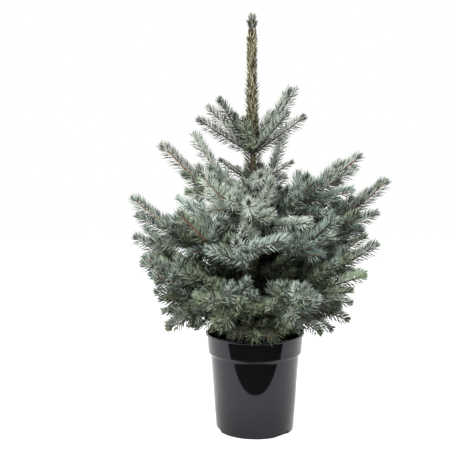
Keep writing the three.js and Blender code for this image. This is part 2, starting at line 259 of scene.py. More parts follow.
# Other leading shoots beside a bough's own: (share of the bough where it starts, roll from the
# bough's top and angle from its line in degrees, length, and its colour if not the bough's).
COMPANIONS = {
    "top_3": ((0.2, 0, 8, 0.07),),
    "top_7": ((0.06, 0, 11, 0.09), (0.3, 0, 4, 0.12)),
    "shoulder_1": ((0.22, 0, 7, 0.13), (0.45, 180, 12, 0.078, "grey_green")),
    "shoulder_3": ((0.15, 258, 58, 0.15), (0.1, 330, 50, 0.115, "silver"),
        (0.12, 26, 56, 0.105, "silver"), (0.36, 320, 42, 0.085, "frost"),
        (0.36, 44, 42, 0.085, "silver")),
    # Its teal companion, below the bough, is painted shade.
    "shoulder_4": ((0.45, 180, 10, 0.135), (0.38, 172, 26, 0.13, "teal"), (0.5, 0, 6, 0.1),
        (0.36, 0, 45, 0.07, "powder_blue")),
    "middle_1": ((0.5, 180, 21, 0.135), (0.36, 176, 20, 0.13, "teal"),
        (0.38, 0, 30, 0.1, "teal"), (0.55, 0, 12, 0.09), (0.72, 0, 8, 0.06, "frost")),
    "middle_3": ((0.55, 0, 14, 0.12), (0.62, 180, 10, 0.165)),
    "middle_4": ((0.5, 180, 12, 0.14), (0.33, 270, 16, 0.13), (0.45, 180, 30, 0.11, "blue_grey")),
    "middle_6": ((0.84, 276, 72, 0.1), (0.8, 262, 40, 0.06), (0.66, 90, 60, 0.08)),
    "lower_1": ((0.6, 180, 15, 0.135, "sage"),),
    "lower_3": ((0.6, 0, 12, 0.125, "blue_grey"),),
    "lower_4": ((0.5, 180, 16, 0.12), (0.6, 180, 10, 0.12)),
    "lower_5": ((0.45, 285, 44, 0.095, "blue_grey"), (0.5, 312, 44, 0.095, "powder_blue"),
        (0.35, 335, 52, 0.07, "grey_green"), (0.72, 305, 34, 0.08, "blue_grey")),
    "lower_6": ((0.62, 52, 36, 0.08, "blue_grey"), (0.84, 60, 26, 0.065, "powder_blue")),
    "lower_7": ((0.45, 180, 46, 0.075),),
    "skirt_1": ((0.5, 180, 16, 0.105), (0.45, 0, 16, 0.105), (0.5, 188, 48, 0.1),
        (0.5, 184, 31, 0.1)),
    "skirt_2": ((0.45, 0, 20, 0.105), (0.4, 270, 26, 0.105), (0.3, 180, 31, 0.09)),
    "skirt_3": ((0.3, 102, 34, 0.085, "sage"), (0.3, 258, 34, 0.085, "olive"),
        (0.12, 104, 62, 0.104, "olive"), (0.12, 256, 62, 0.104, "sage")),
    "skirt_4": ((0.4, 0, 24, 0.09),),
    "skirt_5": ((0.55, 180, 22, 0.09), (0.55, 180, 38, 0.09, "dusk")),
    "skirt_6": ((0.45, 0, 20, 0.105), (0.4, 90, 26, 0.105), (0.5, 180, 38, 0.085)),
}
# Boughs whose side shoots have colours of their own, by the light they grow in: pale colours on lit
# boughs are painted light and dark ones on shaded boughs painted shade.
COLOURS_OF = {
    "shoulder_2": "silver frost silver", "shoulder_3": "silver silver frost",
    "shoulder_4": "blue_grey teal powder_blue grey_green",
    "middle_7": "teal blue_grey", "lower_5": "blue_grey grey_green sage",
    "lower_6": "powder_blue blue_grey grey_green",
    "skirt_3": "shade gloom shade sage",
}
# The dark older needles of middle_6 and middle_7 are painted shade of the hollow beside them.
OLD_OF = {"middle_6": "shade", "middle_7": "shade", "shoulder_4": "blue_grey"}
# Boughs with the short, thin needles of a weak twig, boughs that stop short (the share grown), and
# boughs in full light, with fewer needles in the deep tone of painted shade.
WEAK = "upper_1 upper_3 upper_4 upper_5".split()
STUNTED = {"upper_4": 0.5, "upper_5": 0.5, "shoulder_6": 0.62}
SUNLIT = "upper_2 shoulder_2 shoulder_3 shoulder_6".split()
# Boughs whose wood and youngest needles have a colour of their own.
BOUGHS_BY_WOOD = {
    "red_wood": "shoulder_1 shoulder_4 middle_1 middle_5", "tan_wood": "middle_4",
    "dark_wood": "middle_6 lower_5 lower_6 lower_7 skirt_3", "shaded_wood": "middle_7",
}
BOUGHS_BY_HUE = {
    "silver": "shoulder_2 shoulder_3 shoulder_6",
    "frost": "top_7 upper_2 shoulder_4 shoulder_5 shoulder_7",
    "ash": "top_1 top_2 top_6 shoulder_1",
    "blue_grey": "top_5 middle_4 lower_4", "powder_blue": "middle_6", "teal": "middle_7",
    "grey_green": "top_4 lower_5 lower_6 skirt_5", "sage": "skirt_3",
    "dusk": "top_3 upper_1 middle_1 lower_3 lower_7 skirt_1 skirt_2 skirt_4 skirt_6",
}
WOOD_OF = {bough: wood for wood, boughs in BOUGHS_BY_WOOD.items() for bough in boughs.split()}
HUE_OF = {bough: hue for hue, boughs in BOUGHS_BY_HUE.items() for bough in boughs.split()}

# Barks: the linear colours of cracks, face and ridges, the grain's scale along each axis, and how
# far from the middle of the grain the outer two colours stand. Stems use the woods among them.
BARKS = {
    "trunk_bark": (
        (0.026, 0.02, 0.013), (0.07, 0.056, 0.034), (0.13, 0.105, 0.066), (180, 180, 60), 0.14,
    ),
    "leader_bark": ((0.13, 0.1, 0.06), (0.24, 0.2, 0.13), (0.36, 0.31, 0.21), (260, 260, 90)),
    "dark_wood": ((0.018, 0.014, 0.011), (0.06, 0.045, 0.034), (0.12, 0.09, 0.065), (240,) * 3),
    # shaded_wood is near-black: painted shade for the bough that crosses the dark hollow.
    "shaded_wood": ((0.006, 0.005, 0.004), (0.02, 0.016, 0.013), (0.04, 0.032, 0.025), (240,) * 3),
    "red_wood": ((0.08, 0.035, 0.02), (0.21, 0.095, 0.055), (0.34, 0.18, 0.11), (240,) * 3),
    "tan_wood": ((0.1, 0.065, 0.035), (0.22, 0.15, 0.085), (0.34, 0.25, 0.15), (300,) * 3),
    "bud_scale": ((0.07, 0.025, 0.012), (0.17, 0.06, 0.03), (0.3, 0.13, 0.07), (700,) * 3),
}
WOODS = ("dark_wood", "shaded_wood", "red_wood", "tan_wood")

# Rounded spaces that no side shoot reaches into, as (middle, half sizes): the dark hollow in the
# crown's front, between two whorls of boughs, and the gap beside the trunk above the shoulders.
HOLLOWS = (
    ((0.024, -0.125, 0.403), (0.08, 0.125, 0.024)), ((-0.045, 0, 0.592), (0.024, 0.16, 0.015)),
)
WHORL_ROLLS = (-1.6, -0.6, 0.6, 1.6, 3.1)
# The inner shoots' dark colours are painted shade of the crown's inside.
INNER_COLOURS = "shade sage shade teal"
SHORTEST_SHOOT = 0.034
SKIN_OVERSHOOT = 0.012
SHOOT_ANGLE = 44
FORKING_LENGTH = 0.092
FORK_SHARES = (0.42, 0.5)
FORK_ANGLES = (40, 52)

# Short shoots straight from the trunk fill the crown's core: how many, from which height to which,
# how long at the bottom and at the top, and how far they rise.
CORE_SHOOTS = 104
CORE_HEIGHTS = (0.235, 0.565)
CORE_LENGTHS = (0.15, 0.065)
CORE_RISES = (8, 40)
# Painted shade: the low core shoots' dark colours. Painted light: the top ones' pale colours.
CORE_COLOURS = "shade gloom gloom shade"
CORE_TOP_SHARE = 0.58
CORE_TOP_COLOURS = "silver frost silver powder_blue"
CORE_TOP_RISES = (30, 62)

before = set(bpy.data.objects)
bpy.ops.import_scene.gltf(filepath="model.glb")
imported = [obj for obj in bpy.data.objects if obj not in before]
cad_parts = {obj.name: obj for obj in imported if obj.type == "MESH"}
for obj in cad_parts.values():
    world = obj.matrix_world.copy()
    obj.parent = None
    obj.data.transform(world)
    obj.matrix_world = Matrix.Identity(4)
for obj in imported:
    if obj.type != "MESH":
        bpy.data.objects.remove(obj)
cad_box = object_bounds()
bpy.ops.object.select_all(action="DESELECT")


# ---- small helpers ----
def unit(vectors):
    """The same directions, one metre long."""
    return vectors / np.maximum(np.linalg.norm(vectors, axis=-1, keepdims=True), 1e-9)


def seeded(*numbers):
    return np.random.default_rng([SEED, *numbers])


def deal(choices, rng):
    """One of the words of a string, at random."""
    words = choices.split()
    return words[rng.integers(len(words))]


def smooth_step(x):
    x = np.clip(x, 0, 1)
    return x * x * (3 - 2 * x)


def add_object(name, data):
    thing = bpy.data.objects.new(name, data)
    bpy.context.scene.collection.objects.link(thing)
    return thing


def enter_edit():
    """Edit mode by vertices, with all of them selected."""
    bpy.ops.object.mode_set(mode="EDIT")
    bpy.ops.mesh.select_mode(type="VERT")
    bpy.ops.mesh.select_all(action="SELECT")


def leave_edit():
    bpy.ops.object.mode_set(mode="OBJECT")


def select_vertices(piece, test):
    """In edit mode, selects just the vertices whose place passes a test."""
    bpy.ops.mesh.select_all(action="DESELECT")
    leave_edit()
    for vertex in piece.data.vertices:
        vertex.select = test(vertex.co)
    bpy.ops.object.mode_set(mode="EDIT")


def set_inputs(node, **values):
    """Sets a node's sockets by name, with underscores for spaces."""
    for socket, value in values.items():
        node.inputs[socket.replace("_", " ")].default_value = value


def link(piece, slot, *nodes):
    """The piece rides on the one body and stands for its CAD nodes, which it hides. Its slot is not
    used.
    """
    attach(piece, "root")
    if nodes:
        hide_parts(*nodes)
    return piece


# ---- materials ----
def new_material(name, colour, roughness, specular=0.5):
    """A Principled material and its nodes, links and shader."""
    material = bpy.data.materials.new(name)
    material.use_nodes = True
    nodes, links = material.node_tree.nodes, material.node_tree.links
    shader = nodes["Principled BSDF"]
    set_inputs(shader, Base_Color=(*colour, 1), Roughness=roughness, Specular_IOR_Level=specular)
    return material, nodes, links, shader


def object_noise(nodes, links, stretch, detail, roughness=0.6):
    """Noise on Object coordinates, stretched by a scale for each axis."""
    place = nodes.new("ShaderNodeTexCoord")
    mapping = nodes.new("ShaderNodeMapping")
    set_inputs(mapping, Scale=stretch)
    links.new(place.outputs["Object"], mapping.inputs["Vector"])
    texture = nodes.new("ShaderNodeTexNoise")
    set_inputs(texture, Scale=1.0, Detail=detail, Roughness=roughness)
    links.new(mapping.outputs["Vector"], texture.inputs["Vector"])
    return texture


def colour_ramp(nodes, links, factor, stops):
    """Three colours in turn over a factor, each at its position."""
    ramp = nodes.new("ShaderNodeValToRGB")
    elements = ramp.color_ramp.elements
    elements.new(0.5)
    for element, (position, colour) in zip(elements, stops):
        element.position, element.color = position, (*colour, 1)
    links.new(factor, ramp.inputs["Fac"])
    return ramp


def bump(nodes, links, shader, height, strength, distance):
    relief = nodes.new("ShaderNodeBump")
    set_inputs(relief, Strength=strength, Distance=distance)
    links.new(height, relief.inputs["Height"])
    links.new(relief.outputs["Normal"], shader.inputs["Normal"])


def gloss_plastic():
    """Black moulded plastic: a deep gloss with faint waves and a slightly uneven polish."""
    black = (0.0034, 0.003, 0.0036)
    material, nodes, links, shader = new_material("black_gloss_plastic", black, roughness=0.1)
    set_inputs(shader, IOR=1.34, Specular_Tint=(1.0, 0.93, 1.04, 1.0))
    polish = object_noise(nodes, links, (22, 22, 9), detail=3)
    ramp = nodes.new("ShaderNodeMapRange")
    set_inputs(ramp, To_Min=0.02, To_Max=0.08)
    links.new(polish.outputs["Fac"], ramp.inputs["Value"])
    links.new(ramp.outputs["Result"], shader.inputs["Roughness"])
    waves = object_noise(nodes, links, (26, 26, 14), detail=1)
    bump(nodes, links, shader, waves.outputs["Fac"], strength=0.1, distance=0.002)
    return material


def grained(name, colour, stops, stretch, roughness, specular, coarseness, relief):
    """A rough surface coloured by its own grain, which stands out as relief (strength, depth)."""
    material, nodes, links, shader = new_material(name, colour, roughness, specular)
    grain = object_noise(nodes, links, stretch, detail=6, roughness=coarseness)
    ramp = colour_ramp(nodes, links, grain.outputs["Fac"], stops)
    links.new(ramp.outputs["Color"], shader.inputs["Base Color"])
    bump(nodes, links, shader, grain.outputs["Fac"], *relief)
    return material


def compost():
    """Moist peat: near-black to red-brown, rough and crumbly."""
    stops = (
        (0.35, (0.006, 0.005, 0.004)), (0.52, (0.022, 0.014, 0.009)), (0.68, (0.055, 0.034, 0.02)),
    )
    return grained(
        "compost", (0.02, 0.014, 0.01), stops, stretch=(260,) * 3,
        roughness=0.95, specular=0.2, coarseness=0.7, relief=(0.8, 0.002),
    )


def bark(name, crack, face, ridge, stretch, spread=0.16):
    """Dull, cracked bark, coloured from crack to ridge."""
    stops = ((0.52 - spread, crack), (0.52, face), (0.52 + spread, ridge))
    return grained(
        name, face, stops, stretch,
        roughness=0.88, specular=0.25, coarseness=0.65, relief=(0.6, 0.0008),
    )


# ---- camera, light and floor ----
def add_camera():
    camera = bpy.data.cameras.new("camera")
    camera.lens = CAMERA_LENS
    holder = add_object("camera", camera)
    holder.location = CAMERA_PLACE
    holder.rotation_euler = (math.pi / 2 - CAMERA_PITCH, 0, 0)
    bpy.context.scene.camera = holder


def add_softbox(name, place, height, size, power):
    light = bpy.data.lights.new(name, "AREA")
    light.shape, light.size, light.energy = "DISK", size, power
    holder = add_object(name, light)
    holder.location = place
    aim = Vector((0, 0, height)) - Vector(place)
    holder.rotation_euler = aim.to_track_quat("-Z", "Y").to_euler()
    holder.visible_camera = holder.visible_glossy = False


def light_world():
    """A white surround: plain white to the eye and to glossy things, gentler as a light."""
    world = bpy.data.worlds.new("white_surround")
    bpy.context.scene.world = world
    world.use_nodes = True
    nodes, links = world.node_tree.nodes, world.node_tree.links
    backdrop = nodes["Background"]
    set_inputs(backdrop, Color=(1, 1, 1, 1), Strength=1.0)
    glow = nodes.new("ShaderNodeBackground")
    set_inputs(glow, Color=(0.95, 0.98, 1.0, 1), Strength=SURROUND_LIGHT)
    ray = nodes.new("ShaderNodeLightPath")
    mix = nodes.new("ShaderNodeMixShader")
    links.new(ray.outputs["Is Diffuse Ray"], mix.inputs["Fac"])
    links.new(backdrop.outputs["Background"], mix.inputs[1])
    links.new(glow.outputs["Background"], mix.inputs[2])
    links.new(mix.outputs["Shader"], nodes["World Output"].inputs["Surface"])


def add_floor():
    """A plain, pale floor that glows a little, so that it meets the white surround unseen."""
    bpy.ops.mesh.primitive_plane_add(size=9)
    floor = bpy.context.object
    floor.name = "pale_floor"
    material, _, _, shader = new_material("pale_floor", (0.9,) * 3, roughness=0.9, specular=0.1)
    set_inputs(shader, Emission_Color=(1, 1, 1, 1), Emission_Strength=FLOOR_GLOW)
    floor.data.materials.append(material)
    floor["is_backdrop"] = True


def add_dark_room():
    """An unlit floor and wall in front of the pot, there only for glossy surfaces to mirror."""
    bpy.ops.mesh.primitive_plane_add(size=1, location=DARK_ROOM_MIDDLE)
    room = bpy.context.object
    room.name = "dark_room"
    room.scale = (*DARK_ROOM[:2], 1)
    bpy.ops.object.transform_apply(location=True, scale=True)
    enter_edit()
    select_vertices(room, lambda co: co.y < DARK_ROOM_MIDDLE[1])
    bpy.ops.mesh.extrude_region_move(TRANSFORM_OT_translate={"value": (0, 0, DARK_ROOM[2])})
    leave_edit()
    material, *_ = new_material("dark_room", (0.004,) * 3, roughness=1.0, specular=0.0)
    room.data.materials.append(material)
    room.visible_camera = room.visible_diffuse = False
    room.visible_transmission = room.visible_shadow = False
    room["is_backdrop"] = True


# ---- meshes from arrays ----
def add_piece(name, slot, nodes, materials, vertices, triangles, numbers=None, smooth=True):
    """One joined, linked object from vertices, triangles and each triangle's material number."""
    mesh = bpy.data.meshes.new(name)
    mesh.vertices.add(len(vertices))
    mesh.vertices.foreach_set("co", np.asarray(vertices, np.float32).ravel())
    mesh.loops.add(len(triangles) * 3)
    mesh.loops.foreach_set("vertex_index", np.asarray(triangles, np.int32).ravel())
    mesh.polygons.add(len(triangles))
    mesh.polygons.foreach_set("loop_start", np.arange(0, len(triangles) * 3, 3, dtype=np.int32))
    if numbers is not None:
        mesh.polygons.foreach_set("material_index", np.asarray(numbers, np.int32))
    for material in materials:
        mesh.materials.append(material)
    mesh.update(calc_edges=True)
    mesh.validate()
    if not smooth:
        mesh.shade_flat()
    link(add_object(name, mesh), slot, *nodes)


def arrays_of(piece):
    """The vertices and triangles of a modelled prototype, which is then taken away."""
    mesh = piece.data
    mesh.calc_loop_triangles()
    vertices = np.array([v.co for v in mesh.vertices], float)
    triangles = np.array([t.vertices for t in mesh.loop_triangles], int)
    bpy.data.objects.remove(piece)
    return vertices, triangles


def copies(prototype, places, frames, widths, lengths, bend=0.0):
    """A prototype repeated at places, turned by 3x3 frames (as columns) and scaled, bent to +X."""
    vertices, triangles = prototype
    sizes = np.stack([widths, widths, lengths], 1)
    local = vertices[None] * sizes[:, None]
    local[:, :, 0] += bend * vertices[None, :, 2] ** 2 * lengths[:, None]
    turned = np.einsum("nij,nvj->nvi", frames, local)
    joined = (turned + places[:, None, :]).reshape(-1, 3)
    offsets = np.arange(len(places)) * len(vertices)
    return joined, (triangles[None] + offsets[:, None, None]).reshape(-1, 3)


# ---- centre lines ----
def curve(start, end, sag, count):
    """A limb's centre line: straight but for a sag, a share of its length, at its middle."""
    share = np.linspace(0, 1, count)[:, None]
    middle = (start + end) / 2 - UP * sag * np.linalg.norm(end - start)
    return (1 - share) ** 2 * start + 2 * share * (1 - share) * middle + share**2 * end


def axes_along(points):
    """Tangent, top and side at each point of a centre line. Top is the side that meets the sky."""
    tangent = unit(np.gradient(points, axis=0))
    steep = abs(tangent[:, 2]).mean() > 0.95
    side = unit(np.cross(tangent, FRONT if steep else UP))
    return tangent, np.cross(side, tangent), side


def walk(points, distances):
    """Points of a centre line at distances along it, with their tangent, top and side."""
    steps = np.linalg.norm(np.diff(points, axis=0), axis=1)
    reach = np.concatenate([[0], np.cumsum(steps)])
    found = []
    for values in (points, *axes_along(points)):
        found.append(np.stack([np.interp(distances, reach, values[:, k]) for k in range(3)], 1))
    place, tangent, top, side = found
    return place, unit(tangent), unit(top), unit(side)


def branch_from(points, distance, roll, degrees):
    """Where a branch leaves a centre line, and its direction: rolled from the top, then opened."""
    place, tangent, top, side = (values[0] for values in walk(points, np.array([distance])))
    angle = math.radians(degrees)
    out = math.cos(roll) * top + math.sin(roll) * side
    return place, unit(math.cos(angle) * tangent + math.sin(angle) * out)


# ---- stems ----
def ring_triangles(rows, sides):
    """Triangles between rows of ring vertices, and to a foot and a tip vertex that follow them."""
    here = np.arange(sides)
    after = (here + 1) % sides
    triangles = []
    for low in range(0, (rows - 1) * sides, sides):
        high = low + sides
        triangles.append(np.stack([low + here, high + here, low + after], 1))
        triangles.append(np.stack([low + after, high + here, high + after], 1))
    last, foot = (rows - 1) * sides, rows * sides
    triangles.append(np.stack([np.full(sides, foot), here, after], 1))
    triangles.append(np.stack([last + after, last + here, np.full(sides, foot + 1)], 1))
    return np.concatenate(triangles)


def tube(points, radii, sides, rng):
    """A closed, slightly knobbly tube round a centre line, shut flat at each end."""
    _, top, side = axes_along(points)
    around = np.linspace(0, math.tau, sides, endpoint=False)[None, :, None]
    swell = 1 + STEM_UNEVENNESS * rng.uniform(-1, 1, (len(points), sides))
    ring = np.cos(around) * top[:, None] + np.sin(around) * side[:, None]
    skin = points[:, None] + ring * (radii[:, None] * swell)[..., None]
    vertices = np.concatenate([skin.reshape(-1, 3), points[:1], points[-1:]])
    return vertices, ring_triangles(len(points), sides)


class Growth:
    """What has grown so far: joined lists of stems, needles and buds."""

    def __init__(self):
        self.stems, self.needles, self.buds = [], [], []

    def stem(self, points, butt, tip, wood, rng, sides):
        share = np.linspace(0, 1, len(points))
        radii = tip + (butt - tip) * (1 - share) ** 1.15
        self.stems.append((*tube(points, radii, sides, rng), wood))

    def dress(self, points, dress, colour, rng, radius, start=0.0):
        """Needles in a golden-angle spiral along a centre line, from a share of it to its tip."""
        whole = np.linalg.norm(np.diff(points, axis=0), axis=1).sum()
        count = max(6, int(whole * (1 - start) * dress.density))
        share = (np.arange(count) + rng.uniform(0.2, 0.8, count)) / count
        place, tangent, top, side = walk(points, whole * (start + (1 - start) * share))
        turn = GOLDEN_ANGLE * np.arange(count) + rng.normal(0, 0.12, count)
        turn -= dress.crowd * np.sin(turn)
        closing = smooth_step((share * whole - (whole - CLOSING_SPAN)) / CLOSING_SPAN)
        spread = dress.opening - UNDERSIDE_SPREAD * (dress.crowd > 0) * np.cos(turn)
        opening = spread * (1 - closing) + dress.closing * closing
        opening = np.radians(opening + rng.normal(0, 3.5, count))[:, None]
        out = np.cos(turn)[:, None] * top + np.sin(turn)[:, None] * side
        direction = unit(np.cos(opening) * tangent + np.sin(opening) * out + dress.lift * UP)
        # Needles are shorter at a stem's foot and where they close over its tip.
        length = dress.length * rng.uniform(0.9, 1.08, count)
        length *= 0.74 + 0.26 * smooth_step(share * whole / 0.03)
        length *= 1 - 0.18 * closing
        width = np.full(count, dress.width)
        # They are rooted a little way into the bark.
        root = place + out * radius * 0.7
        # Painted shade: the deep tone is dealt more often on a crowded stem's underside.
        under = 0.5 - 0.5 * np.cos(turn) * (dress.crowd > 0)
        deep = PAINTED_SHADE_SHARE * dress.deep * (0.4 + 1.2 * under)
        self.needles.append((root, direction, tangent, length, width, deep, colour))

    def tuft(self, place, tangent, count, length, colour, rng, spread=(6, 38), ring=0.0):
        """The brush of needles round a shoot's end bud."""
        turn = GOLDEN_ANGLE * np.arange(count)
        opening = np.radians(rng.uniform(*spread, count))[:, None]
        first = unit(np.cross(tangent, FRONT + 0.3 * UP))
        second = np.cross(tangent, first)
        out = np.cos(turn)[:, None] * first + np.sin(turn)[:, None] * second
        direction = unit(np.cos(opening) * tangent + np.sin(opening) * out)
        places = place + out * ring - tangent * rng.uniform(0, 0.004, count)[:, None]
        lengths = length * rng.uniform(0.7, 1.0, count)
        along, width = np.tile(tangent, (count, 1)), np.full(count, NEEDLE_WIDTH)
        deep = np.full(count, PAINTED_SHADE_SHARE)
        self.needles.append((places, direction, along, lengths, width, deep, colour))

    def bud(self, place, tangent, size):
        self.buds.append((place, tangent, size))


# ---- growth ----
def trunk_axis(height):
    """The trunk leans and sways a little. This is its axis at a height."""
    share = (height - SOIL_TOP) / (TREE_TOP - SOIL_TOP)
    sway = TRUNK_SWAY * math.sin(math.tau * share)
    return np.array([TRUNK_LEAN * share + sway, -sway, height])


def skin_of(node):
    """A foliage solid's skin, to cast rays at, and its vertices."""
    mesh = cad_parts[node].data
    vertices = [v.co.copy() for v in mesh.vertices]
    tree = BVHTree.FromPolygons(vertices, [tuple(p.vertices) for p in mesh.polygons])
    return tree, np.array(vertices)


def tip_of(vertices, start):
    """Where a foliage solid reaches furthest from its bough's start."""
    away = np.linalg.norm(vertices - start, axis=1)
    return vertices[away > away.max() - 0.004].mean(0)


def room_in(skin, place, direction):
    """How far a shoot can grow before it leaves the foliage solid."""
    _, normal, _, distance = skin.ray_cast(Vector(place), Vector(direction))
    return distance if normal and normal.dot(Vector(direction)) >= 0 else 0.0


def in_hollow(start, direction, length):
    """Whether the outer half of a shoot would stand in one of the hollows."""
    stations = start + direction * length * np.linspace(0.4, 1.0, 6)[:, None]
    return any((((stations - middle) / size) ** 2).sum(1).min() < 1 for middle, size in HOLLOWS)


def grow_shoot(growth, start, direction, length, colour, dress, rng, wood):
    """One shoot of this year: a stem that curves up a little, its needles, tuft and bud."""
    end = start + unit(direction + UP * 0.1) * length
    points = curve(start, end, rng.uniform(0.02, 0.06), max(4, int(length / SHOOT_STEP)))
    growth.stem(points, SHOOT_BUTT_RADIUS, SHOOT_TIP_RADIUS, wood, rng, sides=5)
    growth.dress(points, dress, colour, rng, SHOOT_TIP_RADIUS)
    tangent = unit(points[-1] - points[-2])
    growth.tuft(points[-1], tangent, SHOOT_TUFT, dress.length * 0.8, colour, rng)
    growth.bud(points[-1], tangent, rng.uniform(*SHOOT_BUDS))
    return points


def side_places(whole, tier, rng):
    """Where side shoots leave a bough: (distance, roll from its top) in whorls and between them."""
    places = []
    for whorl in tier.whorls:
        first = rng.uniform(-0.25, 0.25)
        for roll in WHORL_ROLLS[: 4 if tier.sag < 0 else 5]:
            places.append((whole * whorl - rng.uniform(0, 0.008), roll + first + rng.normal(0, 0.1)))
    if tier.spacing:
        at, number = whole * (tier.bare + 0.06), 0
        while at < whole * tier.whorls[-1] - 0.012:
            places.append((at, (1 if number % 2 else -1) * rng.uniform(1.2, 1.8)))
            at += tier.spacing * rng.uniform(0.7, 1.3)
            number += 1
    return places


def grow_forked(growth, skin, start, direction, length, colour, dress, rng, wood):
    """A shoot and, where it is long enough for them, its own side shoots, one to each side."""
    points = grow_shoot(growth, start, direction, length, colour, dress, rng, wood)
    if length < FORKING_LENGTH:
        return
    for number, share in enumerate(FORK_SHARES):
        roll = (1 if number % 2 else -1) * rng.uniform(1.2, 1.9)
        at, branch = branch_from(points, share * length, roll, rng.uniform(*FORK_ANGLES))
        reach = 0.55 * length * rng.uniform(0.8, 1.1)
        if skin:
            reach = min(room_in(skin, at, branch) + SKIN_OVERSHOOT, reach)
        if reach > SHORTEST_SHOOT and not in_hollow(at, branch, reach):
            grow_shoot(growth, at, branch, reach, colour, DRESSES["side"], rng, wood)


def grow_side(growth, skin, bough, distance, roll, tier, inner, rng):
    """A side shoot of a bough, unless there is no room for it."""
    angle = SHOOT_ANGLE + rng.normal(0, 4)
    place, direction = branch_from(bough, distance, roll, angle)
    length = min(room_in(skin, place, direction) + SKIN_OVERSHOOT, tier.longest)
    length *= rng.uniform(0.85, 1.0)
    if length < SHORTEST_SHOOT or in_hollow(place, direction, length):
        return
    # Inner shoots take dark colours and dark wood: painted shade of the crown's inside.
    colour = deal(INNER_COLOURS if inner else tier.colours, rng)
    dress = DRESSES["inner" if inner else tier.side]
    wood = "dark_wood" if inner else "tan_wood"
    grow_forked(growth, skin, place, direction, length, colour, dress, rng, wood)


def grow_bough(node, tier, rng):
    """Everything that one foliage solid stands for."""
    growth, name = Growth(), node.removeprefix("foliage_")
    tier = tier._replace(colours=COLOURS_OF.get(name, tier.colours))
    if name in SUNLIT:
        tier = tier._replace(dress="bright", side="bright")
    skin, vertices = skin_of(node)
    start = trunk_axis(tier.height)
    tip = tip_of(vertices, start)
    heading = unit(tip - start)
    end = start + (tip - heading * TUFT_REACH - start) * STUNTED.get(name, 1.0)
    whole = np.linalg.norm(end - start)
    sag = DROOP_SAG if name in DROOPING else tier.sag
    points = curve(start, end, sag, int(whole / BOUGH_STEP))
    butt = BOUGH_BUTT_RADIUS if tier.whorls else TWIG_BUTT_RADIUS
    wood = WOOD_OF.get(name, deal(tier.woods, rng))
    growth.stem(points, butt, BOUGH_TIP_RADIUS, wood, rng, sides=8)
    last = tier.whorls[-1] if tier.whorls else tier.bare
    lead_colour = HUE_OF.get(name, deal(tier.colours, rng))
    dress = DRESSES["weak" if name in WEAK else tier.dress]
    growth.dress(points, dress, lead_colour, rng, YOUNG_WOOD_RADIUS, start=last)
    if tier.whorls:
        older = points[: int(len(points) * last) + 1]
        first = tier.bare / last
        old_colour = OLD_OF.get(name, deal(tier.old, rng))
        growth.dress(older, DRESSES["old"], old_colour, rng, OLD_WOOD_RADIUS, start=first)
    tangent = unit(points[-1] - points[-2])
    tip_colour = deal(tier.tips, rng)
    growth.tuft(points[-1], tangent, BOUGH_TUFT, dress.length * 0.78, tip_colour, rng)
    growth.bud(points[-1], tangent, BOUGH_BUD)
    for distance, roll in side_places(whole, tier, rng):
        inner = distance < tier.inner * whole
        grow_side(growth, skin, points, distance, roll, tier, inner, rng)
    for share, roll, angle, length, *hue in COMPANIONS.get(name, ()):
        place, direction = branch_from(points, share * whole, math.radians(roll), angle)
        grow_shoot(growth, place, direction, length, (hue or [lead_colour])[0], dress, rng, wood)
    return growth


def grow_core(rng):
    """The short shoots between the whorls, in a spiral up the trunk."""
    growth = Growth()
    for number in range(CORE_SHOOTS):
        share = (number + 0.5) / CORE_SHOOTS
        high = share > CORE_TOP_SHARE
        bearing = number * GOLDEN_ANGLE
        rise = math.radians(rng.uniform(*(CORE_TOP_RISES if high else CORE_RISES)))
        direction = np.array([math.cos(bearing), math.sin(bearing), math.tan(rise)]) * math.cos(rise)
        start = trunk_axis(np.interp(share, (0, 1), CORE_HEIGHTS))
        length = np.interp(share, (0, 1), CORE_LENGTHS) * rng.uniform(0.75, 1.1)
        colour = deal(CORE_TOP_COLOURS if high else CORE_COLOURS, rng)
        dress = DRESSES["bright" if high else "inner"]
        if not in_hollow(start, direction, length):
            grow_forked(growth, None, start, direction, length, colour, dress, rng, "dark_wood")
    return growth


def grow_leader(rng):
    """The needles on the trunk's bare top and down into the crown."""
    growth = Growth()
    for low, high, dress, colours, radius in LEADER_SPANS:
        points = np.array([trunk_axis(z) for z in np.linspace(low, high, 24)])
        for colour in colours.split():
            growth.dress(points, DRESSES[dress], colour, rng, radius)
    for height, count, length, colour, spread, ring in LEADER_RUFFS:
        growth.tuft(trunk_axis(height), UP, count, length, colour, rng, spread, ring)
    growth.bud(trunk_axis(TRUNK_TOP), UP, LEADER_BUD)
    return growth


# ---- prototypes ----
def model_needle():
    """One needle, a metre long up +Z and a metre wide: a three-sided spindle, pointed at both ends."""
    slope = 1 - NEEDLE_BELLY_AT
    bpy.ops.mesh.primitive_cone_add(
        vertices=3, radius1=0.5, radius2=0, depth=slope, end_fill_type="TRIFAN",
        location=(0, 0, NEEDLE_BELLY_AT + slope / 2),
    )
    needle = bpy.context.object
    bpy.ops.object.transform_apply(location=True)
    enter_edit()
    select_vertices(needle, lambda co: co.xy.length < 0.1 and co.z < 0.9)
    bpy.ops.transform.translate(value=(0, 0, -NEEDLE_BELLY_AT))
    leave_edit()
    return arrays_of(needle)


def model_bud():
    """One bud, a metre long up +Z: a pointed egg with the edges of its scales drawn out."""
    bpy.ops.mesh.primitive_uv_sphere_add(segments=6, ring_count=4, radius=0.5, location=(0, 0, 0.4))
    bud = bpy.context.object
    bpy.ops.object.transform_apply(location=True)
    enter_edit()
    bpy.ops.transform.resize(value=(0.62, 0.62, 1.0))
    select_vertices(bud, lambda co: co.z > 0.85)
    bpy.ops.transform.translate(value=(0, 0, 0.2))
    leave_edit()
    return arrays_of(bud)


# ---- joined pieces ----
def frames_of(x_axis, z_axis):
    """3x3 frames with the axes as their columns."""
    return np.stack([x_axis, np.cross(z_axis, x_axis), z_axis], axis=2)


